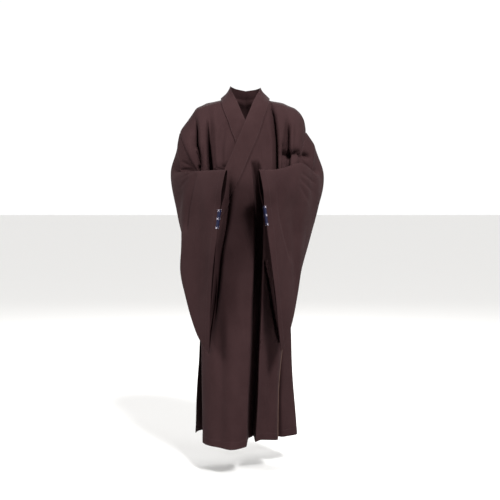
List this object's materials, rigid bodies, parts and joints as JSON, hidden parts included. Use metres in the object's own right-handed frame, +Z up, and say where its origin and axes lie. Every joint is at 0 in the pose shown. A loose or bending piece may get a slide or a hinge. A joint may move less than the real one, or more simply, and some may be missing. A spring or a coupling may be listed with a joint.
{
  "type": "buddhist monk robe (haiqing)",
  "caption": "Ankle-length wrap robe worn by Buddhist clergy, crossed at the front under a long neckband, with very deep hanging sleeves, kept in its worn, hollow form.",
  "frame": {"origin": "inside the neck opening at the base of the neck, where the wearer's shoulders carry the robe", "axes": "+Z up, -Y towards the front, +X towards the wearer's left"},
  "size_m": [0.5465, 0.4125, 1.2538],
  "materials": {
    "robe_cloth": "matt plain-weave cloth, dark brown",
    "neckband_cloth": "matt plain-weave cloth in several layers, dark brown"
  },
  "bodies": {
    "root": {"body_left_front_upper": "robe_cloth", "body_left_front_lower": "robe_cloth", "body_left_back_upper": "robe_cloth", "body_left_back_lower": "robe_cloth", "body_right_front_upper": "robe_cloth", "body_right_front_lower": "robe_cloth", "body_right_back_upper": "robe_cloth", "body_right_back_lower": "robe_cloth", "front_overlap": "robe_cloth", "sleeve_left_upper": "robe_cloth", "sleeve_left_lower": "robe_cloth", "sleeve_right_upper": "robe_cloth", "sleeve_right_lower": "robe_cloth", "neckband_left": "neckband_cloth", "neckband_right": "neckband_cloth"}
  },
  "joints": []
}
